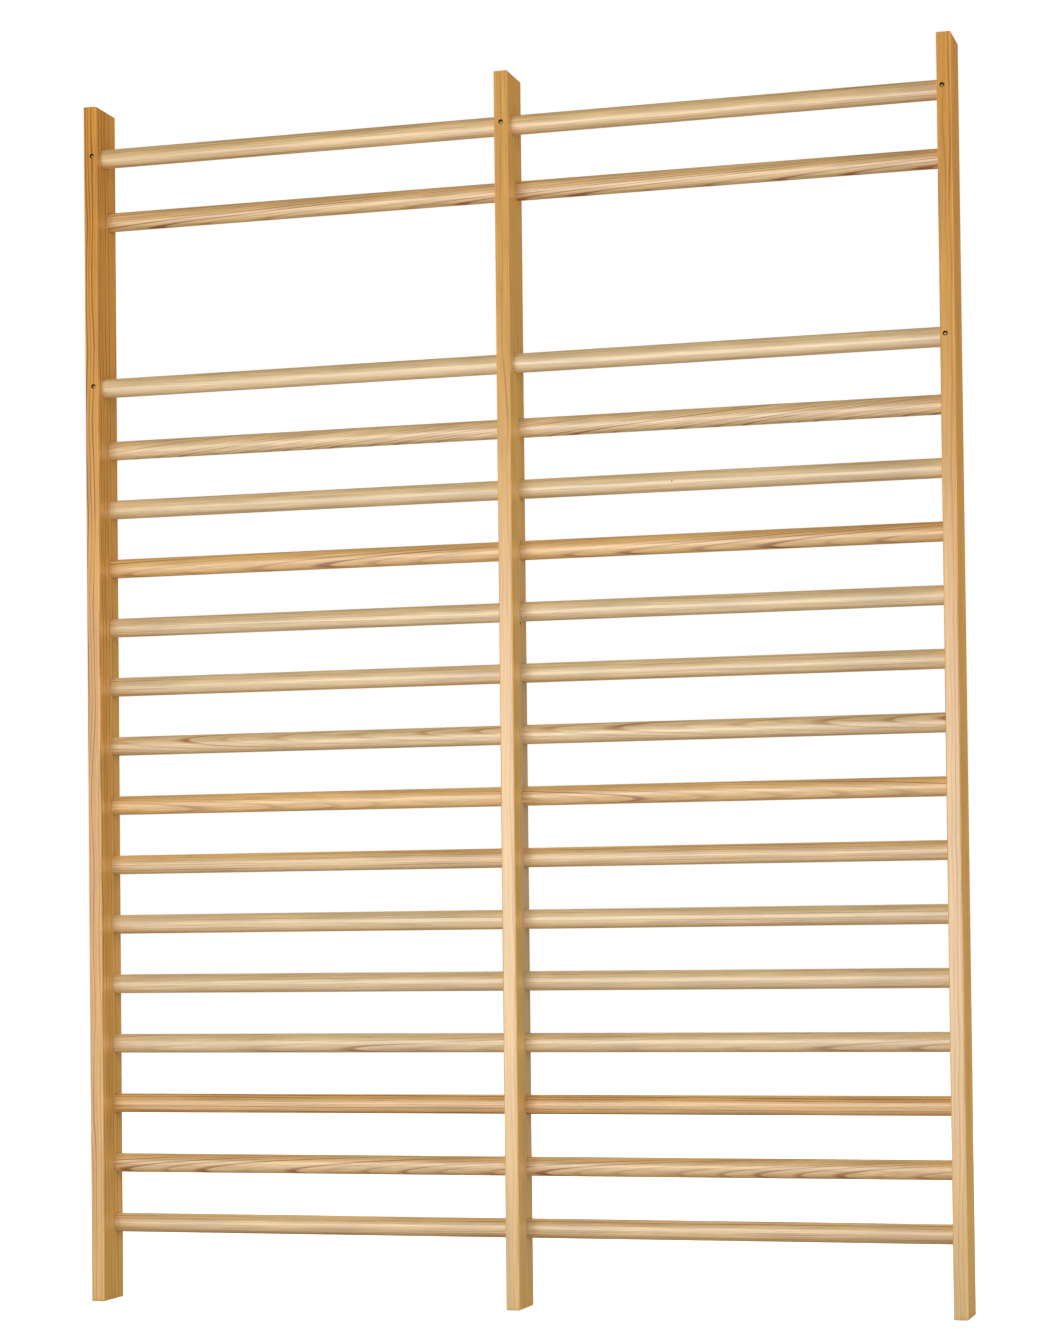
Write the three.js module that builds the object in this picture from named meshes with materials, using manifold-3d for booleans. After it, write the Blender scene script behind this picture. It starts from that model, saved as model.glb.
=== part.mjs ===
// Two-bay wall bars. Three pine uprights carry seventeen oval rungs, each one long
// bar that passes through the middle upright and ends in blind mortises in the outer two.
// Units are millimetres. +Z is up, +X is to the right as seen from the room, and +Y points
// at the wall. The origin is on the floor, in the middle of the width and of the depth.

import * as THREE from 'three';
import { mergeVertices } from 'three/addons/utils/BufferGeometryUtils.js';
import Module from 'manifold-3d';

// Uprights
const uprightHeight = 2600;
const uprightThickness = 30;
const uprightDepth = 105;
const uprightPitch = 935; // centre to centre, which makes the frame 1900 wide
const arrisRadius = 3; // the long edges are rounded for hands and feet
const endEase = 1.5; // the sawn ends have their edges taken off
const arrisSegments = 2; // a quarter round gets twice this many facets

// Rungs
const rungHeight = 41;
const rungDepth = 37;
const rungSides = 24;
const mortiseDepth = 25; // blind depth in the outer uprights
const fitGap = 0.3; // between a rung or screw and the wood around it

// Rows of rungs, from the floor up
const bottomRungHeight = 165;
const rungPitch = 130;
const ladderRungs = 14;
const forwardRise = 132; // a forward rung above the rear rung below it
const hangingRise = 505; // the upper rear rung above the ladder's last rung
const rearInset = 75; // rung axis behind the uprights' front faces
const forwardInset = 40;

// Screws: they enter each rung through the nearer face of the upright
const screwSides = 8;
const shankRadius = 2.2;
const tipLength = 5;
const headRadius = 3.25;
const headHeight = 2;
const headCrown = 0.8;
const counterboreRadius = 5;
const counterboreDepth = 4.5;
const frontScrewLength = 45;
const rearScrewLength = 35;
const screwInboard = 4; // from the centre line of an outer upright towards the bay
const toolOverrun = 2; // cutting shapes run past the face that they open

const frontFace = -uprightDepth / 2;
const rearFace = uprightDepth / 2;
const rungEnd = uprightPitch - uprightThickness / 2 + mortiseDepth;

const wasm = await Module();
wasm.setup();

// Closed solid from a closed geometry: seams are welded and the empty triangles at the poles go.
function toSolid(geometry) {
  const bare = geometry.clone();
  bare.deleteAttribute('normal');
  bare.deleteAttribute('uv');
  const welded = mergeVertices(bare, 1e-4);
  const corners = Array.from(welded.index.array);
  const triangles = [];
  for (let i = 0; i < corners.length; i += 3) {
    const [a, b, c] = corners.slice(i, i + 3);
    if (a !== b && b !== c && c !== a) triangles.push(a, b, c);
  }
  return new wasm.Manifold(new wasm.Mesh({
    numProp: 3,
    vertProperties: Float32Array.from(welded.attributes.position.array),
    triVerts: Uint32Array.from(triangles),
  }));
}

function toGeometry(solid) {
  const { vertProperties, triVerts } = solid.getMesh();
  const geometry = new THREE.BufferGeometry();
  geometry.setAttribute('position', new THREE.BufferAttribute(vertProperties, 3));
  geometry.setIndex(new THREE.BufferAttribute(triVerts, 1));
  geometry.computeVertexNormals();
  return geometry;
}

function cutAway(geometry, tools) {
  const solid = tools.reduce((left, tool) => left.subtract(toSolid(tool)), toSolid(geometry));
  return toGeometry(solid);
}

// Rows: height of the axis, its inset from the front face, and where its screws are
function layOutRows() {
  const rear = (z) => ({ z, inset: rearInset, forward: false });
  const forward = (z) => ({ z, inset: forwardInset, forward: true });
  const rows = [];
  for (let i = 0; i < ladderRungs; i += 1) rows.push(rear(bottomRungHeight + i * rungPitch));
  const ladderTop = rows[ladderRungs - 1].z;
  rows.push(forward(ladderTop + forwardRise));
  rows.push(rear(ladderTop + hangingRise));
  rows.push(forward(ladderTop + hangingRise + forwardRise));
  rows.forEach((row, i) => {
    row.name = `rung_${String(i + 1).padStart(2, '0')}`;
    row.y = frontFace + row.inset;
    row.screws = ['left', 'right'];
  });
  rows[rows.length - 1].screws.push('middle'); // the top rung is also held at the middle upright
  return rows;
}

const rows = layOutRows();
const stations = { left: -uprightPitch, middle: 0, right: uprightPitch };
const screwX = {
  left: stations.left + screwInboard,
  middle: stations.middle,
  right: stations.right - screwInboard,
};

// Oval bar along X between two ends
function ovalBar(fromX, toX, grow) {
  const outline = new THREE.EllipseCurve(0, 0, rungHeight / 2 + grow, rungDepth / 2 + grow);
  const shape = new THREE.Shape(outline.getPoints(rungSides).slice(0, rungSides));
  const bar = new THREE.ExtrudeGeometry(shape, { depth: toX - fromX, bevelEnabled: false });
  bar.rotateY(Math.PI / 2);
  bar.rotateX(Math.PI);
  bar.translate(fromX, 0, 0);
  return bar;
}

// Screw along Y: underside of the head at zero, head towards +Y
function screwGeometry(length) {
  const profile = [
    new THREE.Vector2(0, -length),
    new THREE.Vector2(shankRadius, tipLength - length),
    new THREE.Vector2(shankRadius, 0),
    new THREE.Vector2(headRadius, 0),
    new THREE.Vector2(headRadius, headHeight),
    new THREE.Vector2(0, headHeight + headCrown),
  ];
  return new THREE.LatheGeometry(profile, screwSides);
}

// Hole for that screw: clearance along the shank, and a counterbore open to the face
function screwHole(length) {
  const deep = -length - fitGap;
  const shank = shankRadius + fitGap;
  const profile = [
    new THREE.Vector2(0, deep),
    new THREE.Vector2(shank, deep),
    new THREE.Vector2(shank, -fitGap),
    new THREE.Vector2(counterboreRadius, -fitGap),
    new THREE.Vector2(counterboreRadius, counterboreDepth + toolOverrun),
    new THREE.Vector2(0, counterboreDepth + toolOverrun),
  ];
  return new THREE.LatheGeometry(profile, screwSides);
}

// A row's screws are alike: the seat is the plane that the head bears on
function screwOf(row) {
  return row.forward
    ? { length: frontScrewLength, seatY: frontFace + counterboreDepth, turn: Math.PI }
    : { length: rearScrewLength, seatY: rearFace - counterboreDepth, turn: 0 };
}

function placedHole(row, x, y, z) {
  const { length, seatY, turn } = screwOf(row);
  const hole = screwHole(length);
  hole.rotateZ(turn);
  hole.translate(x, seatY + y, z);
  return hole;
}

function uprightBlank() {
  const w = uprightThickness / 2;
  const d = uprightDepth / 2;
  const r = arrisRadius;
  const shape = new THREE.Shape();
  shape.absarc(w - r, d - r, r, 0, Math.PI / 2);
  shape.absarc(r - w, d - r, r, Math.PI / 2, Math.PI);
  shape.absarc(r - w, r - d, r, Math.PI, 1.5 * Math.PI);
  shape.absarc(w - r, r - d, r, 1.5 * Math.PI, 2 * Math.PI);
  const blank = new THREE.ExtrudeGeometry(shape, {
    depth: uprightHeight - 2 * endEase,
    bevelSize: endEase,
    bevelThickness: endEase,
    bevelOffset: -endEase,
    bevelSegments: 1,
    curveSegments: arrisSegments,
  });
  blank.translate(0, 0, endEase);
  return blank;
}

// Where a rung lies in an upright, measured from the upright's own centre line
function mortiseSpan(side) {
  const outside = uprightThickness / 2 + toolOverrun;
  const blind = uprightThickness / 2 - mortiseDepth - fitGap;
  if (side === 'left') return [blind, outside];
  if (side === 'right') return [-outside, -blind];
  return [-outside, outside];
}

function uprightGeometry(side) {
  const tools = [];
  const [fromX, toX] = mortiseSpan(side);
  rows.forEach((row) => {
    const mortise = ovalBar(fromX, toX, fitGap);
    mortise.translate(0, row.y, row.z);
    tools.push(mortise);
    if (row.screws.includes(side)) tools.push(placedHole(row, screwX[side] - stations[side], 0, row.z));
  });
  return cutAway(uprightBlank(), tools);
}

function rungGeometry(row) {
  const tools = row.screws.map((side) => placedHole(row, screwX[side], -row.y, 0));
  return cutAway(ovalBar(-rungEnd, rungEnd, 0), tools);
}

const uprightPine = { color: 0xd29a52, roughness: 0.38, metalness: 0 };
const rungPine = { color: 0xdcb97f, roughness: 0.42, metalness: 0 };
const screwSteel = { color: 0xc9c4b4, roughness: 0.3, metalness: 1 };

function piece(name, geometry, finish, x, y, z) {
  const mesh = new THREE.Mesh(geometry, new THREE.MeshStandardMaterial(finish));
  mesh.name = name;
  mesh.position.set(x, y, z);
  return mesh;
}

function makeUprights() {
  const group = new THREE.Group();
  Object.entries(stations).forEach(([side, x]) => {
    group.add(piece(`upright_${side}`, uprightGeometry(side), uprightPine, x, 0, 0));
  });
  return group;
}

function makeRungs() {
  const group = new THREE.Group();
  rows.forEach((row) => group.add(piece(row.name, rungGeometry(row), rungPine, 0, row.y, row.z)));
  return group;
}

function makeScrews() {
  const group = new THREE.Group();
  rows.forEach((row) => {
    const { length, seatY, turn } = screwOf(row);
    const face = row.forward ? 'front' : 'rear';
    row.screws.forEach((side) => {
      const name = `${face}_screw_${row.name}_${side}`;
      const screw = piece(name, screwGeometry(length), screwSteel, screwX[side], seatY, row.z);
      screw.rotation.z = turn;
      group.add(screw);
    });
  });
  return group;
}

const wallBars = new THREE.Group();
wallBars.add(makeUprights(), makeRungs(), makeScrews());

export default wallBars;
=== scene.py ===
import math
import random

import bmesh
import bpy
import numpy as np
from mathutils import Matrix, Vector


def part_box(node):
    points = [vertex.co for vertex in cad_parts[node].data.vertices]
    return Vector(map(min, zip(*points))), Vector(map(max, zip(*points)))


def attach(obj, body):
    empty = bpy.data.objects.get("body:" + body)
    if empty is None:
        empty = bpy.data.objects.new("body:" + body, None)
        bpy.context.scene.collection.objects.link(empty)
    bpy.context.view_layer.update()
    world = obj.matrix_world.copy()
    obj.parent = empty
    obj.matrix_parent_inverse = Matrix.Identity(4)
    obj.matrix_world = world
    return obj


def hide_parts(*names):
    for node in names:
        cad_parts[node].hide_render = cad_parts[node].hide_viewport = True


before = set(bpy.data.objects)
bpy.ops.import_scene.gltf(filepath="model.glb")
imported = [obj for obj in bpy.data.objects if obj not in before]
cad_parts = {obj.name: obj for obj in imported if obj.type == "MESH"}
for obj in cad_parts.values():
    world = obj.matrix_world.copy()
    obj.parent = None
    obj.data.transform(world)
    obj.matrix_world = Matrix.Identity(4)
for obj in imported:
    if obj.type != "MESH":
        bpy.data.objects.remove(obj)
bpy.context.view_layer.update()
boxes = {node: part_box(node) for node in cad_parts}
mm = 0.001
xAxis, zAxis = 0, 2
scene = bpy.context.scene
scene.view_settings.view_transform = "Standard"


# Small helpers

def linear(hexColour):
    # sRGB hex to the linear colour that a shader socket takes; the numbers are the sRGB curve's own
    parts = [int(hexColour[i:i + 2], 16) / 255 for i in (1, 3, 5)]
    return [p / 12.92 if p <= 0.04045 else ((p + 0.055) / 1.055) ** 2.4 for p in parts] + [1.0]


def addNode(tree, kind, settings=None, links=None):
    # settings are properties, ramp stops, or input values by name or number;
    # links are inputs and their sources. A Map Range goes from inputs 1 and 2 to inputs 3 and 4.
    node = tree.nodes.new(kind)
    for key, value in (settings or {}).items():
        if key == "stops":
            for place, hexColour in value:
                node.color_ramp.elements.new(place).color = linear(hexColour)
            node.color_ramp.elements.remove(node.color_ramp.elements[0])
            node.color_ramp.elements.remove(node.color_ramp.elements[-1])
        elif isinstance(key, str) and hasattr(node, key):
            setattr(node, key, value)
        else:
            node.inputs[key].default_value = value
    for key, socket in (links or {}).items():
        tree.links.new(socket, node.inputs[key])
    return node


def newMaterial(name):
    material = bpy.data.materials.new(name)
    material.use_nodes = True
    material.node_tree.nodes.clear()
    return material, material.node_tree


def newPiece(name, mesh, slot, *nodes):
    piece = bpy.data.objects.new(name, mesh)
    scene.collection.objects.link(piece)
    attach(piece, "root")
    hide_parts(*nodes)
    return piece


def meshOf(name, bm):
    mesh = bpy.data.meshes.new(name)
    bmesh.ops.recalc_face_normals(bm, faces=bm.faces)
    bm.to_mesh(mesh)
    bm.free()
    return mesh


def cut(mesh, tool):
    # mesh less tool, as a new mesh with no modifier left on it
    bodyObject = bpy.data.objects.new("cutBody", mesh)
    toolObject = bpy.data.objects.new("cutTool", tool)
    for each in (bodyObject, toolObject):
        scene.collection.objects.link(each)
    boolean = bodyObject.modifiers.new("cut", "BOOLEAN")
    boolean.operation = "DIFFERENCE"
    boolean.solver = "EXACT"
    boolean.object = toolObject
    evaluated = bodyObject.evaluated_get(bpy.context.evaluated_depsgraph_get())
    result = bpy.data.meshes.new_from_object(evaluated)
    for each in (bodyObject, toolObject):
        bpy.data.objects.remove(each)
    return result


def loft(bm, rings):
    # skin through rings of points, with the two ends filled
    loops = [[bm.verts.new(point) for point in ring] for ring in rings]
    for first, second in zip(loops, loops[1:]):
        for i in range(len(first)):
            j = (i + 1) % len(first)
            bm.faces.new((first[i], first[j], second[j], second[i]))
    bm.faces.new(list(reversed(loops[0])))
    bm.faces.new(loops[-1])


def fullTurn(sides):
    return [2 * math.pi * i / sides for i in range(sides)]


def ovalRing(x, centre, halfDepth, halfHeight, sides):
    # around an axis along X
    return [(x, centre.y + halfDepth * math.cos(t), centre.z + halfHeight * math.sin(t))
            for t in fullTurn(sides)]


def roundRing(y, centre, radius, sides):
    # around an axis along Y
    return [(centre.x + radius * math.cos(t), y, centre.z + radius * math.sin(t)) for t in fullTurn(sides)]


def middleOf(node):
    low, high = boxes[node]
    return (low + high) / 2


def smoothByAngle(mesh, degrees):
    mesh.shade_smooth()
    mesh.set_sharp_from_angle(angle=math.radians(degrees))


# The log that each piece was sawn from: a point's place in it, in millimetres, drives the grain.
# pith is how far off the centre of the log lies and turn on which side, slope how far it leans along
# the piece, tone how deep the colour is along the piece (on the uprights also painted highlight, paler
# low down where the soft box's reflection falls), bold how dark the lines are, and heart how
# far from the pith the deeper heartwood reaches. place is where in the pattern the piece sits.

rungLogs = {
    "rung_01": {"pith": 120, "turn": 85, "slope": 0.004, "toneAndSheen": (0.3, 0.3), "bold": 0.9, "heart": 0},
    "rung_02": {"pith": 85, "turn": 143, "slope": 0.045, "toneAndSheen": (0.4, 0.5), "bold": 1.1, "heart": 0},
    "rung_03": {"pith": 90, "turn": 275, "slope": 0.003, "toneAndSheen": (0.7, 0.8), "bold": 1.5, "heart": 0},
    "rung_04": {"pith": 95, "turn": 145, "slope": 0.02, "toneAndSheen": (0.05, 0.1), "bold": 0.75, "heart": 0},
    "rung_05": {"pith": 120, "turn": 80, "slope": 0.008, "toneAndSheen": (0.05, 0.08), "bold": 0.45, "heart": 0},
    "rung_06": {"pith": 75, "turn": 275, "slope": 0.002, "toneAndSheen": (0.05, 0.08), "bold": 0.45, "heart": 66},
    "rung_07": {"pith": 70, "turn": 88, "slope": 0.002, "toneAndSheen": (0.3, 0.25), "bold": 0.68, "heart": 62},
    "rung_08": {"pith": 95, "turn": 150, "slope": -0.03, "toneAndSheen": (0.65, 0.6), "bold": 0.8, "heart": 0},
    "rung_09": {"pith": 110, "turn": 200, "slope": 0.03, "toneAndSheen": (0.15, 0.1), "bold": 0.75, "heart": 0},
    "rung_10": {"pith": 60, "turn": 270, "slope": 0.001, "toneAndSheen": (0.05, 0.1), "bold": 0.38, "heart": 51},
    "rung_11": {"pith": 120, "turn": 100, "slope": -0.01, "toneAndSheen": (0.1, 0.0), "bold": 0.52, "heart": 0},
    "rung_12": {"pith": 100, "turn": 140, "slope": 0.03, "toneAndSheen": (0.7, 0.7), "bold": 1.0, "heart": 0},
    "rung_13": {"pith": 120, "turn": 85, "slope": 0.001, "toneAndSheen": (0.12, 0.05), "bold": 0.3, "heart": 0},
    "rung_14": {"pith": 150, "turn": 95, "slope": 0.085, "toneAndSheen": (0.1, 0.2), "bold": 1.27, "heart": 0},
    "rung_15": {"pith": 140, "turn": 265, "slope": 0.01, "toneAndSheen": (0.08, 0.05), "bold": 0.3, "heart": 0},
    "rung_16": {"pith": 110, "turn": 112, "slope": 0.03, "toneAndSheen": (0.5, 0.35), "bold": 1.4, "heart": 0},
    "rung_17": {"pith": 120, "turn": 80, "slope": 0.004, "toneAndSheen": (0.3, 0.3), "bold": 0.6, "heart": 0},
}
# Along the uprights tone is painted highlight as well as wood colour: paler and greyer low down, where the
# soft box's reflection falls on the fronts, and deeper towards the top
uprightLogs = {
    "upright_left": {"pith": 120, "turn": 232, "slope": 0.004, "bold": 1.35, "heart": 0,
                     "toneAndSheen": (0.55, 0.55, 0.6, 0.8, 1.0)},
    "upright_middle": {"pith": 130, "turn": 140, "slope": -0.003, "bold": 0.5, "heart": 0,
                       "toneAndSheen": (0.35, 0.05, 0.15, 0.5, 0.75)},
    "upright_right": {"pith": 110, "turn": 240, "slope": 0.003, "bold": 0.8, "heart": 0,
                      "toneAndSheen": (0.35, 0.0, 0.15, 0.65, 1.0)},
}
logGap = 7000  # mm between the places of two pieces, more than a piece is long
for number, log in enumerate([*rungLogs.values(), *uprightLogs.values()]):
    log["place"] = logGap * number


def placeInLog(points, lengthAxis, log):
    # points in millimetres from the middle of the piece
    along = points[:, lengthAxis]
    first, second = (points[:, axis] for axis in range(3) if axis != lengthAxis)
    turn = math.radians(log["turn"])
    inLog = np.empty((len(points), 3))
    inLog[:, 0] = first * math.cos(turn) - second * math.sin(turn) + log["pith"] + log["slope"] * along
    inLog[:, 1] = first * math.sin(turn) + second * math.cos(turn)
    inLog[:, 2] = along + log["place"]
    return inLog


def setGrain(mesh, centre, lengthAxis, log):
    points = np.zeros(len(mesh.vertices) * 3)
    mesh.vertices.foreach_get("co", points)
    points = (points.reshape(-1, 3) - np.array(centre)) / mm
    along = points[:, lengthAxis]
    share = (along - along.min()) / (along.max() - along.min())
    board = np.empty((len(points), 3))
    board[:, 0] = np.interp(share, np.linspace(0, 1, len(log["toneAndSheen"])), log["toneAndSheen"])
    board[:, 1] = log["bold"]
    board[:, 2] = log["heart"]
    for name, values in (("logPoint", placeInLog(points, lengthAxis, log)), ("boardLook", board)):
        mesh.attributes.new(name, "FLOAT_VECTOR", "POINT").data.foreach_set("vector", values.ravel())


# Materials

def pineMaterial(name, look):
    # Planed or turned pine under clear lacquer: soft pale early wood, narrow orange late wood in
    # rings around the pith, fine fibre streaks, and an even wet sheen on top.
    material, tree = newMaterial(name)
    noiseLow, noiseHigh = look["noiseRange"]
    place = addNode(tree, "ShaderNodeAttribute", {"attribute_name": "logPoint"}).outputs["Vector"]
    board = addNode(tree, "ShaderNodeAttribute", {"attribute_name": "boardLook"}).outputs["Vector"]
    boardParts = addNode(tree, "ShaderNodeSeparateXYZ", {}, {0: board}).outputs
    # tone runs along each piece; on the uprights it also carries painted highlight, paler low down
    toneAndSheen, bold, heart = boardParts["X"], boardParts["Y"], boardParts["Z"]

    # the trunk isn't a perfect cylinder: the rings wander
    reach = look["wander"]
    wanderPlace = addNode(tree, "ShaderNodeVectorMath", {"operation": "DIVIDE", 1: look["wanderSize"]},
                          {0: place})
    wander = addNode(tree, "ShaderNodeTexNoise", look["wanderNoise"], {"Vector": wanderPlace.outputs[0]})
    shift = addNode(tree, "ShaderNodeVectorMath",
                    {"operation": "MULTIPLY_ADD", 1: (reach,) * 3, 2: (-reach / 2,) * 3},
                    {0: wander.outputs["Color"]})
    warped = addNode(tree, "ShaderNodeVectorMath", {"operation": "ADD"}, {0: place, 1: shift.outputs[0]})
    flat = addNode(tree, "ShaderNodeVectorMath", {"operation": "MULTIPLY", 1: (1, 1, 0)},
                   {0: warped.outputs[0]})
    radius = addNode(tree, "ShaderNodeVectorMath", {"operation": "LENGTH"},
                     {0: flat.outputs[0]}).outputs["Value"]

    # wide and narrow years
    years = addNode(tree, "ShaderNodeMath", {"operation": "DIVIDE", 1: look["swing"] * look["ringWidth"]},
                    {0: radius})
    yearNoise = addNode(tree, "ShaderNodeTexNoise", look["yearNoise"], {"W": years.outputs[0]})
    uneven = addNode(tree, "ShaderNodeMath", {"operation": "MULTIPLY_ADD", 1: look["uneven"]},
                     {0: yearNoise.outputs[0], 2: radius})
    rings = addNode(tree, "ShaderNodeMath", {"operation": "DIVIDE", 1: look["ringWidth"]},
                    {0: uneven.outputs[0]}).outputs[0]
    phase = addNode(tree, "ShaderNodeMath", {"operation": "FRACT"}, {0: rings}).outputs[0]
    index = addNode(tree, "ShaderNodeMath", {"operation": "FLOOR"}, {0: rings}).outputs[0]
    year = addNode(tree, "ShaderNodeTexWhiteNoise", {"noise_dimensions": "1D"}, {"W": index}).outputs["Value"]

    # the wood darkens slowly through the year, ends in a thin late line and starts again at once
    lateFrom, lateTo = look["lateLine"]
    rise = addNode(tree, "ShaderNodeMapRange", {"interpolation_type": "SMOOTHSTEP", 1: lateFrom, 2: lateTo},
                   {0: phase})
    fall = addNode(tree, "ShaderNodeMapRange", {1: lateTo, 2: 1.0, 3: 1.0, 4: 0.0}, {0: phase})
    line = addNode(tree, "ShaderNodeMath", {"operation": "MINIMUM"}, {0: rise.outputs[0], 1: fall.outputs[0]})
    shaded = addNode(tree, "ShaderNodeMath", {"operation": "MULTIPLY_ADD", 1: look["yearShade"]},
                     {0: phase, 2: line.outputs[0]})
    strong = addNode(tree, "ShaderNodeMath", {"operation": "POWER", 1: look["rareYear"]}, {0: year})
    strength = addNode(tree, "ShaderNodeMapRange", {3: look["faintYear"], 4: look["strongYear"]},
                       {0: strong.outputs[0]})
    lateYear = addNode(tree, "ShaderNodeMath", {"operation": "MULTIPLY"},
                       {0: shaded.outputs[0], 1: strength.outputs[0]})

    # broad figure and fine fibres
    figurePlace = addNode(tree, "ShaderNodeVectorMath", {"operation": "DIVIDE", 1: look["figureSize"]},
                          {0: place})
    figure = addNode(tree, "ShaderNodeTexNoise", look["figureNoise"],
                     {"Vector": figurePlace.outputs[0]}).outputs[0]
    fibrePlace = addNode(tree, "ShaderNodeVectorMath", {"operation": "DIVIDE", 1: look["fibreSize"]},
                         {0: place})
    fibre = addNode(tree, "ShaderNodeTexNoise", look["fibreNoise"],
                    {"Vector": fibrePlace.outputs[0]}).outputs[0]
    figured = addNode(tree, "ShaderNodeMapRange",
                      {1: noiseLow, 2: noiseHigh, 3: look["figureLow"], 4: look["figureHigh"]}, {0: figure})
    boldness = addNode(tree, "ShaderNodeMath", {"operation": "MULTIPLY"}, {0: figured.outputs[0], 1: bold})
    lateAmount = addNode(tree, "ShaderNodeMath", {"operation": "MULTIPLY", "use_clamp": True},
                         {0: lateYear.outputs[0], 1: boldness.outputs[0]}).outputs[0]

    # heartwood is deeper, with an edge that follows the rings
    inside = addNode(tree, "ShaderNodeMath", {"operation": "SUBTRACT"}, {0: heart, 1: radius})
    heartwood = addNode(tree, "ShaderNodeMath",
                        {"operation": "DIVIDE", 1: look["heartEdge"], "use_clamp": True},
                        {0: inside.outputs[0]})
    deep = addNode(tree, "ShaderNodeMath",
                   {"operation": "MULTIPLY_ADD", 1: look["heartTone"], "use_clamp": True},
                   {0: heartwood.outputs[0], 2: toneAndSheen}).outputs[0]

    early = addNode(tree, "ShaderNodeValToRGB", {"stops": look["early"]}, {0: deep})
    dark = addNode(tree, "ShaderNodeValToRGB", {"stops": look["late"]}, {0: deep})
    grain = addNode(tree, "ShaderNodeMix", {"data_type": "RGBA"},
                    {0: lateAmount, 6: early.outputs[0], 7: dark.outputs[0]})
    for spot, size in look["knots"]:
        away = addNode(tree, "ShaderNodeVectorMath", {"operation": "DISTANCE", 1: spot}, {0: place})
        knot = addNode(tree, "ShaderNodeMapRange", {1: look["knotCore"] * size, 2: size, 3: 1.0, 4: 0.0},
                       {0: away.outputs["Value"]})
        grain = addNode(tree, "ShaderNodeMix", {"data_type": "RGBA", 7: linear(look["knotColour"])},
                        {0: knot.outputs[0], 6: grain.outputs[2]})
    streak = addNode(tree, "ShaderNodeMapRange",
                     {1: noiseLow, 2: noiseHigh, 3: 1 - look["streak"], 4: 1 + look["streak"]}, {0: fibre})
    mottle = addNode(tree, "ShaderNodeMapRange",
                     {1: noiseLow, 2: noiseHigh, 3: 1 + look["mottle"], 4: 1 - look["mottle"]}, {0: figure})
    value = addNode(tree, "ShaderNodeMath", {"operation": "MULTIPLY"},
                    {0: streak.outputs[0], 1: mottle.outputs[0]})
    colour = addNode(tree, "ShaderNodeHueSaturation", {},
                     {"Value": value.outputs[0], "Color": grain.outputs[2]})

    relief = addNode(tree, "ShaderNodeMath", {"operation": "MULTIPLY_ADD", 1: look["fibreRelief"]},
                     {0: fibre, 2: lateAmount})
    bump = addNode(tree, "ShaderNodeBump",
                   {"Strength": look["bumpStrength"], "Distance": look["relief"] * mm},
                   {"Height": relief.outputs[0]})
    rough = addNode(tree, "ShaderNodeMapRange",
                    {1: noiseLow, 2: noiseHigh, 3: look["roughLow"], 4: look["roughHigh"]}, {0: fibre})
    wood = addNode(tree, "ShaderNodeBsdfPrincipled",
                   {"IOR": look["ior"], "Specular IOR Level": look["specular"], "Coat Weight": look["coat"],
                    "Coat Roughness": look["coatRoughness"], "Coat IOR": look["coatIor"]},
                   {"Base Color": colour.outputs[0], "Roughness": rough.outputs[0], "Normal": bump.outputs[0],
                    "Coat Normal": bump.outputs[0]})
    addNode(tree, "ShaderNodeOutputMaterial", {}, {"Surface": wood.outputs[0]})
    return material


def speckledMaterial(name, look):
    # two colours and a roughness that follow one fine noise, for the small surfaces
    material, tree = newMaterial(name)
    noiseLow, noiseHigh = look["noiseRange"]
    place = addNode(tree, "ShaderNodeTexCoord").outputs["Object"]
    noise = addNode(tree, "ShaderNodeTexNoise",
                    {"Scale": 1 / (look["speckle"] * mm), "Detail": look["detail"]},
                    {"Vector": place}).outputs[0]
    colour = addNode(tree, "ShaderNodeMix",
                     {"data_type": "RGBA", 6: linear(look["dark"]), 7: linear(look["pale"])}, {0: noise})
    rough = addNode(tree, "ShaderNodeMapRange",
                    {1: noiseLow, 2: noiseHigh, 3: look["roughLow"], 4: look["roughHigh"]}, {0: noise})
    surface = addNode(tree, "ShaderNodeBsdfPrincipled", look["surface"],
                      {"Base Color": colour.outputs[2], "Roughness": rough.outputs[0]})
    addNode(tree, "ShaderNodeOutputMaterial", {}, {"Surface": surface.outputs[0]})
    return material


# Two small knots, placed in millimetres from the middle of the piece
uprightKnot = placeInLog(np.array([[15.0, 6.0, 140.0]]), zAxis, uprightLogs["upright_middle"])[0]
rungKnot = placeInLog(np.array([[347.0, -18.5, -1.0]]), xAxis, rungLogs["rung_13"])[0]

# What both kinds of pine share. Sizes are in millimetres, and a size of three numbers is
# across, across and along the log.
pineLook = {
    "swing": 3.5,  # rings over which wide and narrow years take turns
    "rareYear": 1.6,  # the higher, the fewer years stand out
    "noiseRange": (0.3, 0.7),  # most of a noise lies between these
    "wanderNoise": {"Scale": 1.0, "Detail": 1.0, "Roughness": 0.4},
    "yearNoise": {"noise_dimensions": "1D", "Scale": 1.0, "Detail": 1.0},
    "figureNoise": {"Scale": 1.0, "Detail": 2.0, "Roughness": 0.5},
    "fibreNoise": {"Scale": 1.0, "Detail": 3.0, "Roughness": 0.6},
    "heartEdge": 14.0,
    "knotCore": 0.5, "knotColour": "#5a2f12",
    "fibreRelief": 0.5, "bumpStrength": 0.6,
    "ior": 1.5, "specular": 0.0, "coat": 1.0,  # only the lacquer mirrors, not the wood under it
}
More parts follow.
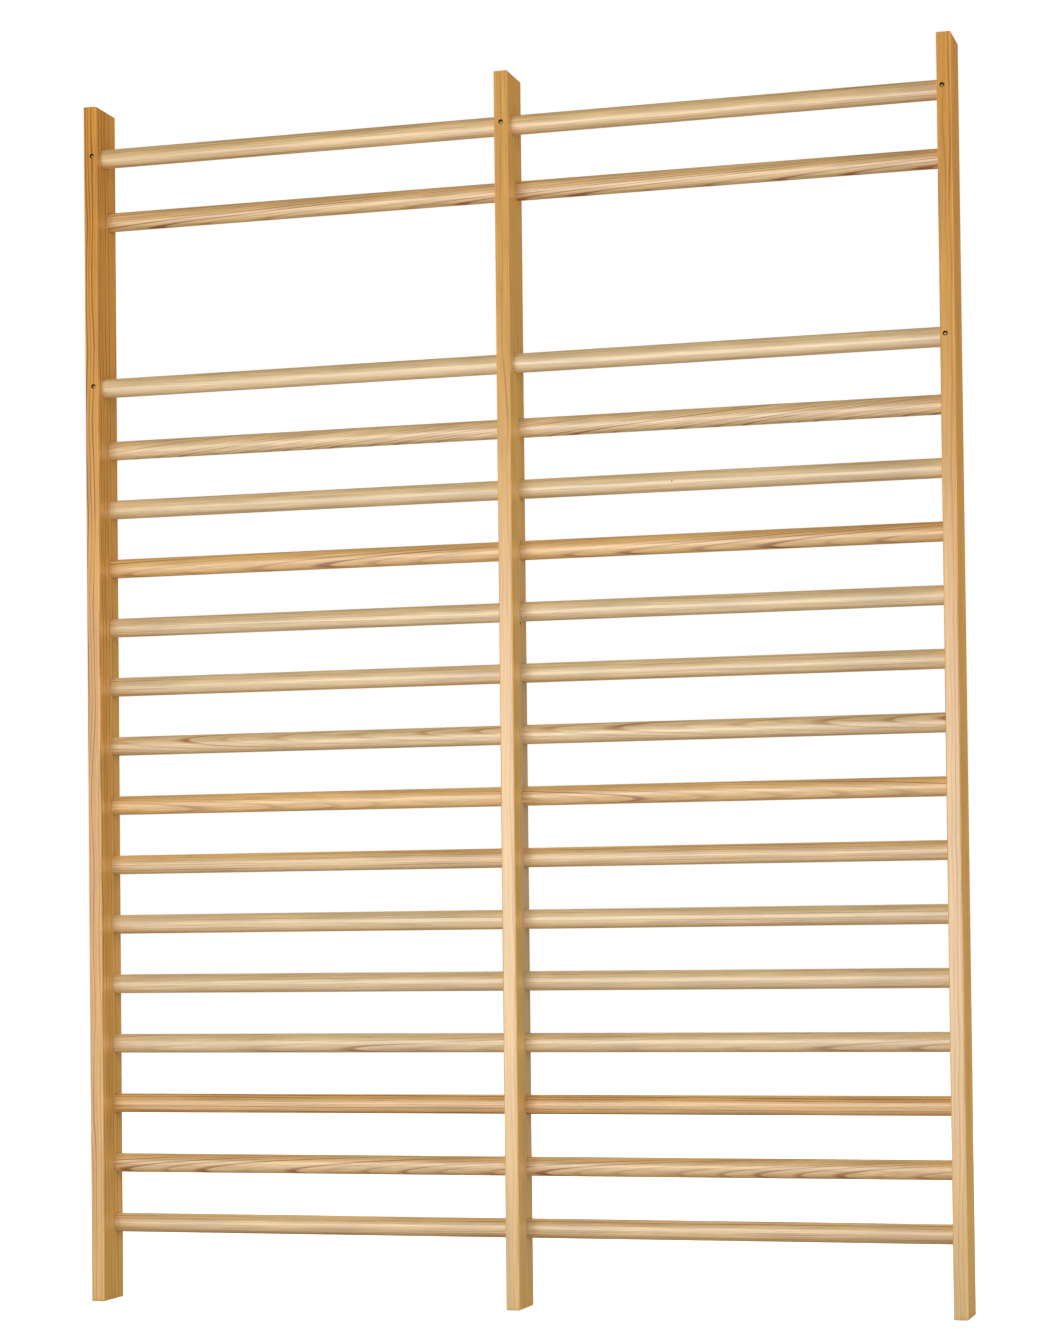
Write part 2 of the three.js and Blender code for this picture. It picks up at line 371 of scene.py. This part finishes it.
uprightPineLook = {
    **pineLook,
    "ringWidth": 6.5,  # real pine has 2 to 4, drawn coarser so that the lines show at this distance
    "uneven": 9.0,  # how far rings stray from even spacing
    "lateLine": (0.52, 0.9),  # where in the year the dark line starts and where it is darkest
    "yearShade": 0.2, "faintYear": 0.15, "strongYear": 1.4,
    "wanderSize": (45, 45, 210), "wander": 15.0,
    "figureSize": (40, 40, 300), "figureLow": 0.4, "figureHigh": 1.25, "mottle": 0.05,
    "fibreSize": (3.2, 3.2, 130), "streak": 0.12, "relief": 0.04,
    "heartTone": 0.7,
    # the stops at 0.01 are painted highlight: the greyish pale of the lacquer's glare low on the fronts
    "early": [(0.01, "#b8a484"), (0.4, "#d2a75a"), (0.99, "#d09039")],
    "late": [(0.01, "#b0875a"), (0.4, "#a86c2c"), (0.99, "#7f4610")],
    "knots": [(uprightKnot, 4.0)],
    "roughLow": 0.34, "roughHigh": 0.46,
    "coatRoughness": 0.26, "coatIor": 1.85,  # lacquer has 1.5, raised to give the glare of a harder light
}
rungPineLook = {
    **pineLook,
    "ringWidth": 4.2,  # also coarser than the real 1.5 to 3
    "uneven": 5.5,
    "lateLine": (0.58, 0.9),
    "yearShade": 0.15, "faintYear": 0.25, "strongYear": 1.9,
    "wanderSize": (70, 70, 420), "wander": 5.0,
    "figureSize": (35, 35, 320), "figureLow": 0.35, "figureHigh": 1.35, "mottle": 0.06,
    "fibreSize": (3.0, 3.0, 160), "streak": 0.24, "relief": 0.05,
    "heartTone": 0.6,
    "early": [(0.01, "#d5bb8d"), (0.99, "#daa95b")],
    "late": [(0.01, "#9f682a"), (0.99, "#8a440a")],
    "knots": [(rungKnot, 2.5)],
    "roughLow": 0.45, "roughHigh": 0.58,
    "coatRoughness": 0.38, "coatIor": 2.05,  # as above, and softer than on the planed boards
}
# End grain and torn fibres inside a drilled counterbore: dry and rough, and near black, which is painted
# shade in the recess over the end grain's own darker colour
drilledPineAndShadeLook = {
    "speckle": 0.8, "detail": 2.0, "dark": "#1c1007", "pale": "#432a13",
    "noiseRange": (0.0, 1.0), "roughLow": 0.75, "roughHigh": 0.95,
    "surface": {"IOR": 1.5, "Specular IOR Level": 0.2},
}
# Bright zinc plating on a pressed steel head: pale, with a warm cast and a fine crystalline haze
zincSteelLook = {
    "speckle": 0.5, "detail": 3.0, "dark": "#8a7a52", "pale": "#c4b07c",
    "noiseRange": (0.3, 0.7), "roughLow": 0.2, "roughHigh": 0.34,
    "surface": {"Metallic": 1.0},
}
uprightPine = pineMaterial("lacquered_pine_upright", uprightPineLook)
rungPine = pineMaterial("lacquered_pine_rung", rungPineLook)
counterboreShadePine = speckledMaterial("drilled_pine_and_shade", drilledPineAndShadeLook)
screwSteel = speckledMaterial("zinc_plated_steel", zincSteelLook)
print("materials ready")


# Rungs: one long oval bar each, with the turned surface running through all three uprights

rungLook = {"sides": 72, "step": 15 * mm, "endEase": 1.5 * mm, "endShrink": 0.93, "smoothAngle": 40}
rungNodes = sorted(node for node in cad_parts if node.startswith("rung_"))


def rungMesh(node):
    low, high = boxes[node]
    centre, half = middleOf(node), (high - low) / 2
    ease, shrink, sides = rungLook["endEase"], rungLook["endShrink"], rungLook["sides"]
    count = round((high.x - low.x) / rungLook["step"])
    stations = np.linspace(low.x + ease, high.x - ease, count)
    rings = [ovalRing(low.x, centre, half.y * shrink, half.z * shrink, sides)]
    rings += [ovalRing(x, centre, half.y, half.z, sides) for x in stations]
    rings += [ovalRing(high.x, centre, half.y * shrink, half.z * shrink, sides)]
    bm = bmesh.new()
    loft(bm, rings)
    return meshOf(node + "_turned", bm)


def makeRungs():
    for node in rungNodes:
        mesh = rungMesh(node)
        mesh.materials.append(rungPine)
        setGrain(mesh, middleOf(node), xAxis, rungLogs[node])
        smoothByAngle(mesh, rungLook["smoothAngle"])
        newPiece(node + "_turned", mesh, "rung_pine", node)


makeRungs()
print("rungs ready:", len(rungNodes))


# Uprights: a board on edge with rounded arrises, oval mortises and counterbores

uprightLook = {
    "arris": 3 * mm, "arrisSteps": 6, "endEase": 1.5 * mm, "endSteps": 3,
    "roundProfile": 0.5,  # Blender's bevel is a quarter circle at this value
    "longEdge": 500 * mm, "levelEdge": 0.001 * mm,  # least rise of an edge up the board, most of one across
    "mortiseGap": 0.3 * mm, "mortiseEase": 0.7 * mm, "mortiseSides": 72,
    "counterbore": 5 * mm, "counterboreDepth": 4.8 * mm, "counterboreEase": 0.4 * mm, "counterboreSides": 40,
    "paintedShadeFrom": 0.3 * mm, "paintedShadeSkin": 0.1 * mm,  # the painted shade on the drilled walls starts under the mouth
    "overrun": 2 * mm,  # cutting shapes run past the face that they open
    "smoothAngle": 40,
}
screwNodes = sorted(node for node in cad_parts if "_screw_" in node)


def edgeRise(edge):
    return abs(edge.verts[0].co.z - edge.verts[1].co.z)


def roundEdges(bm, edges, offset, steps):
    bmesh.ops.bevel(bm, geom=edges, offset=offset, segments=steps, profile=uprightLook["roundProfile"],
                    affect="EDGES", clamp_overlap=True)


def uprightBlank(low, high):
    bm = bmesh.new()
    size = Matrix.Diagonal(Vector((*(high - low), 1)))
    bmesh.ops.create_cube(bm, size=1.0, matrix=Matrix.Translation((low + high) / 2) @ size)
    long = [edge for edge in bm.edges if edgeRise(edge) > uprightLook["longEdge"]]
    roundEdges(bm, long, uprightLook["arris"], uprightLook["arrisSteps"])
    ends = [edge for edge in bm.edges if edgeRise(edge) < uprightLook["levelEdge"]]
    roundEdges(bm, ends, uprightLook["endEase"], uprightLook["endSteps"])
    return meshOf("uprightBlank", bm)


def addMortise(bm, rung, side, low, high):
    # an oval hole with its mouth eased, blind in the outer uprights
    rungLow, rungHigh = boxes[rung]
    centre, half = middleOf(rung), (rungHigh - rungLow) / 2
    gap, ease, over = uprightLook["mortiseGap"], uprightLook["mortiseEase"], uprightLook["overrun"]
    span = [(low.x - over, ease + over), (low.x + ease, 0), (high.x - ease, 0), (high.x + over, ease + over)]
    if side == "left":
        span = [(rungLow.x - gap, 0)] + span[2:]
    if side == "right":
        span = span[:2] + [(rungHigh.x + gap, 0)]
    loft(bm, [ovalRing(x, centre, half.y + gap + grow, half.z + gap + grow, uprightLook["mortiseSides"])
              for x, grow in span])


def addCounterbore(bm, screw, low, high):
    # a flat-bottomed hole from the face that the screw enters
    face, inward = (low.y, 1) if screw.startswith("front") else (high.y, -1)
    radius, depth = uprightLook["counterbore"], uprightLook["counterboreDepth"]
    ease, over = uprightLook["counterboreEase"], uprightLook["overrun"]
    steps = [(-over, ease + over), (ease, 0), (depth, 0)]
    loft(bm, [roundRing(face + inward * step, middleOf(screw), radius + grow, uprightLook["counterboreSides"])
              for step, grow in steps])


def paintCounterboreShade(mesh, screws, low, high):
    # the drilled walls take the second material, whose near black is painted shade in the recess
    skin = uprightLook["paintedShadeSkin"]
    reach, depth = uprightLook["counterbore"] + skin, uprightLook["counterboreDepth"] + skin
    for face in mesh.polygons:
        for screw in screws:
            centre = middleOf(screw)
            away = math.hypot(face.center.x - centre.x, face.center.z - centre.z)
            deep = face.center.y - low.y if screw.startswith("front") else high.y - face.center.y
            if away < reach and uprightLook["paintedShadeFrom"] < deep < depth:
                face.material_index = 1


def makeUprights():
    for node, log in uprightLogs.items():
        side = node.split("_")[1]
        low, high = boxes[node]
        screws = [screw for screw in screwNodes if screw.endswith(side)]
        bm = bmesh.new()
        for rung in rungNodes:
            addMortise(bm, rung, side, low, high)
        for screw in screws:
            addCounterbore(bm, screw, low, high)
        mesh = cut(uprightBlank(low, high), meshOf("uprightTool", bm))
        mesh.name = node + "_board"
        mesh.materials.append(uprightPine)
        mesh.materials.append(counterboreShadePine)
        paintCounterboreShade(mesh, screws, low, high)
        setGrain(mesh, middleOf(node), zAxis, log)
        smoothByAngle(mesh, uprightLook["smoothAngle"])
        piece = newPiece(node + "_board", mesh, "upright_pine", node)
        weighted = piece.modifiers.new("evenFaces", "WEIGHTED_NORMAL")
        weighted.keep_sharp = True


makeUprights()
print("uprights ready:", len(uprightLogs))


# Screws: crowned pan heads with a cross recess, at the bottom of the counterbores

screwLook = {
    "sides": 40, "smoothAngle": 35, "seed": 35,  # the seed turns each cross its own way
    "head": 2.8 * mm, "shank": 2.2 * mm, "tip": 5 * mm, "tipRadius": 0.15 * mm,
    "rim": 0.45,  # share of the head's height that stands straight
    "edgeRound": 0.5 * mm, "edgeIn": 0.25, "edgeUp": 0.7,  # in and up as shares of the rounding
    "crownSteps": 8, "crownTop": 0.02 * mm,
    "crossWidth": 0.6 * mm, "crossReach": 1.4 * mm, "crossDepth": 1.0 * mm, "overrun": 1 * mm,
}


def screwMesh(name, low, high):
    # made along Y, head towards +Y, with the origin on the underside of the head
    radius = (high.x - low.x) / 2
    head, shank = screwLook["head"], screwLook["shank"]
    point = head - (high.y - low.y)
    rim = head * screwLook["rim"]
    inner = radius - screwLook["edgeIn"] * screwLook["edgeRound"]
    base = rim + screwLook["edgeUp"] * screwLook["edgeRound"]
    profile = [(screwLook["tipRadius"], point), (shank, point + screwLook["tip"]), (shank, 0), (radius, 0),
               (radius, rim), (inner, base)]
    steps = screwLook["crownSteps"]
    crown = [math.pi / 2 * i / steps for i in range(1, steps + 1)]
    profile += [(inner * math.cos(t) + screwLook["crownTop"], base + (head - base) * math.sin(t))
                for t in crown]
    bm = bmesh.new()
    loft(bm, [roundRing(y, Vector(), r, screwLook["sides"]) for r, y in profile])

    reach, width = screwLook["crossReach"], screwLook["crossWidth"] / 2
    arm = [(reach, -width), (reach, width), (width, width)]
    quarters = [(1, 0, 0, 1), (0, -1, 1, 0), (-1, 0, 0, -1), (0, 1, -1, 0)]
    outline = [(a * x + b * z, c * x + d * z) for a, b, c, d in quarters for x, z in arm]
    depths = (head - screwLook["crossDepth"], head + screwLook["overrun"])
    tool = bmesh.new()
    loft(tool, [[(x, y, z) for x, z in outline] for y in depths])
    return cut(meshOf(name, bm), meshOf("crossTool", tool))


def makeScrews():
    chance = random.Random(screwLook["seed"])
    meshes = {}
    for node in screwNodes:
        low, high = boxes[node]
        kind = node.split("_")[0]
        if kind not in meshes:
            meshes[kind] = screwMesh(kind + "_screw", low, high)
            meshes[kind].materials.append(screwSteel)
            smoothByAngle(meshes[kind], screwLook["smoothAngle"])
        piece = newPiece(node + "_zinc", meshes[kind], "screw_steel", node)
        seat = middleOf(node)
        seat.y = low.y + screwLook["head"] if kind == "front" else high.y - screwLook["head"]
        facing = Matrix.Rotation(math.pi, 4, "Z") if kind == "front" else Matrix.Identity(4)
        spin = Matrix.Rotation(chance.uniform(0, math.pi / 2), 4, "Y")
        piece.matrix_world = Matrix.Translation(seat) @ facing @ spin


makeScrews()
print("screws ready:", len(screwNodes))


# Stage: pale floor, white surroundings, a wide soft box beside the camera and four fills, in metres and watts

lightLook = {
    "ambient": 0.16,
    "floorSize": 40, "floorColour": "#b4b3b1", "floorGlow": (0.88, 0.96), "glowReach": (1.5, 7.0),
    "lamps": {
        "softBox": {"place": (-0.78, -4.4, 1.05), "aim": (-0.15, 0.0, 1.05),
                    "wide": 3.3, "high": 2.2, "power": 78, "mirrored": True},
        "topFill": {"place": (-0.6, -5.0, 5.0), "aim": (0.0, 0.0, 1.2),
                    "wide": 4.0, "high": 2.5, "power": 132, "mirrored": False},
        "rightFill": {"place": (14.0, -1.6, 2.2), "aim": (0.0, 0.0, 1.3),
                      "wide": 7.0, "high": 5.0, "power": 1380, "mirrored": False},
        "leftFill": {"place": (-14.0, -1.6, 2.2), "aim": (0.0, 0.0, 1.3),
                     "wide": 7.0, "high": 5.0, "power": 850, "mirrored": False},
        "backFill": {"place": (-1.5, 7.0, 6.0), "aim": (0.0, 0.0, 1.3),
                     "wide": 5.0, "high": 3.0, "power": 640, "mirrored": False},
    },
    "cardColour": "#a08760", "cardWide": (-5.0, 4.5),
    # the card's bends as depth and height, from under the feet to above the soft box
    "cardEdge": [(-0.06, 0.002), (2.6, 0.002), (2.6, 4.4), (0.3, 5.2), (-4.6, 5.2), (-4.6, 2.5)],
}


def seenDirectly(tree):
    # 1 for what the camera, a reflection or a clear body looks at, 0 for the light that falls on things
    path = addNode(tree, "ShaderNodeLightPath")
    first = addNode(tree, "ShaderNodeMath", {"operation": "MAXIMUM"},
                    {0: path.outputs["Is Camera Ray"], 1: path.outputs["Is Glossy Ray"]})
    both = addNode(tree, "ShaderNodeMath", {"operation": "MAXIMUM"},
                   {0: first.outputs[0], 1: path.outputs["Is Transmission Ray"]})
    return both.outputs[0]


def makeWorld():
    world = bpy.data.worlds.new("paleStudio")
    scene.world = world
    world.use_nodes = True
    tree = world.node_tree
    tree.nodes.clear()
    level = addNode(tree, "ShaderNodeMapRange", {3: lightLook["ambient"], 4: 1.0}, {0: seenDirectly(tree)})
    sky = addNode(tree, "ShaderNodeBackground", {"Color": (1, 1, 1, 1)}, {"Strength": level.outputs[0]})
    addNode(tree, "ShaderNodeOutputWorld", {}, {"Surface": sky.outputs[0]})


def makeFloor():
    bm = bmesh.new()
    bmesh.ops.create_grid(bm, x_segments=1, y_segments=1, size=lightLook["floorSize"])
    floor = bpy.data.objects.new("floor", meshOf("floor", bm))
    scene.collection.objects.link(floor)
    material, tree = newMaterial("matt_white_floor")
    paint = addNode(tree, "ShaderNodeBsdfDiffuse", {"Color": linear(lightLook["floorColour"])})
    # far from the lamps the floor glows a little more, so that it meets the white behind without an edge
    ground = addNode(tree, "ShaderNodeNewGeometry").outputs["Position"]
    away = addNode(tree, "ShaderNodeVectorMath", {"operation": "LENGTH"}, {0: ground}).outputs["Value"]
    near, far = lightLook["glowReach"]
    low, high = lightLook["floorGlow"]
    level = addNode(tree, "ShaderNodeMapRange", {1: near, 2: far, 3: low, 4: high}, {0: away})
    glow = addNode(tree, "ShaderNodeMath", {"operation": "MULTIPLY"},
                   {0: seenDirectly(tree), 1: level.outputs[0]})
    light = addNode(tree, "ShaderNodeEmission", {"Color": (1, 1, 1, 1)}, {"Strength": glow.outputs[0]})
    total = addNode(tree, "ShaderNodeAddShader", {}, {0: paint.outputs[0], 1: light.outputs[0]})
    addNode(tree, "ShaderNodeOutputMaterial", {}, {"Surface": total.outputs[0]})
    floor.data.materials.append(material)


def makeLights():
    for name, look in lightLook["lamps"].items():
        lamp = bpy.data.lights.new(name, "AREA")
        lamp.shape = "RECTANGLE"
        lamp.size = look["wide"]
        lamp.size_y = look["high"]
        lamp.energy = look["power"]
        box = bpy.data.objects.new(name, lamp)
        scene.collection.objects.link(box)
        box.location = look["place"]
        aim = Vector(look["aim"]) - box.location
        box.rotation_euler = aim.to_track_quat("-Z", "Y").to_euler()
        box.visible_camera = False
        box.visible_glossy = look["mirrored"]  # the fills leave no bright patch on the lacquer


def makeCard():
    # a tan sheet under the feet, up the back, over the top and down to the soft box, which only
    # reflections see: it keeps the lacquer from going milky
    bm = bmesh.new()
    rows = [[bm.verts.new((x, y, z)) for x in lightLook["cardWide"]] for y, z in lightLook["cardEdge"]]
    for first, second in zip(rows, rows[1:]):
        bm.faces.new((first[0], first[1], second[1], second[0]))
    card = bpy.data.objects.new("darkCard", meshOf("darkCard", bm))
    scene.collection.objects.link(card)
    material, tree = newMaterial("dark_felt_card")
    felt = addNode(tree, "ShaderNodeBsdfDiffuse", {"Color": linear(lightLook["cardColour"])})
    addNode(tree, "ShaderNodeOutputMaterial", {}, {"Surface": felt.outputs[0]})
    card.data.materials.append(material)
    card.visible_camera = False
    card.visible_shadow = False
    card.visible_diffuse = False


# Camera: to the right of the frame, a little below its middle, with the lens raised

cameraLook = {
    "place": (1.8929, -6.4863, 0.7695), "turn": (91.4947, 0.6146, 16.0132),  # metres and degrees
    "focal": 3209.9, "rise": 187.5, "longSide": 1339,  # in pixels of the photo
    "sensor": 36.0, "farClip": 200,  # millimetres and metres
}


def makeCamera():
    data = bpy.data.cameras.new("camera")
    data.sensor_width = cameraLook["sensor"]
    data.lens = cameraLook["focal"] * cameraLook["sensor"] / cameraLook["longSide"]
    data.shift_y = cameraLook["rise"] / cameraLook["longSide"]
    data.clip_end = cameraLook["farClip"]
    camera = bpy.data.objects.new("camera", data)
    scene.collection.objects.link(camera)
    camera.location = cameraLook["place"]
    camera.rotation_euler = [math.radians(angle) for angle in cameraLook["turn"]]
    scene.camera = camera


makeWorld()
makeFloor()
makeLights()
makeCard()
makeCamera()
print("stage ready")
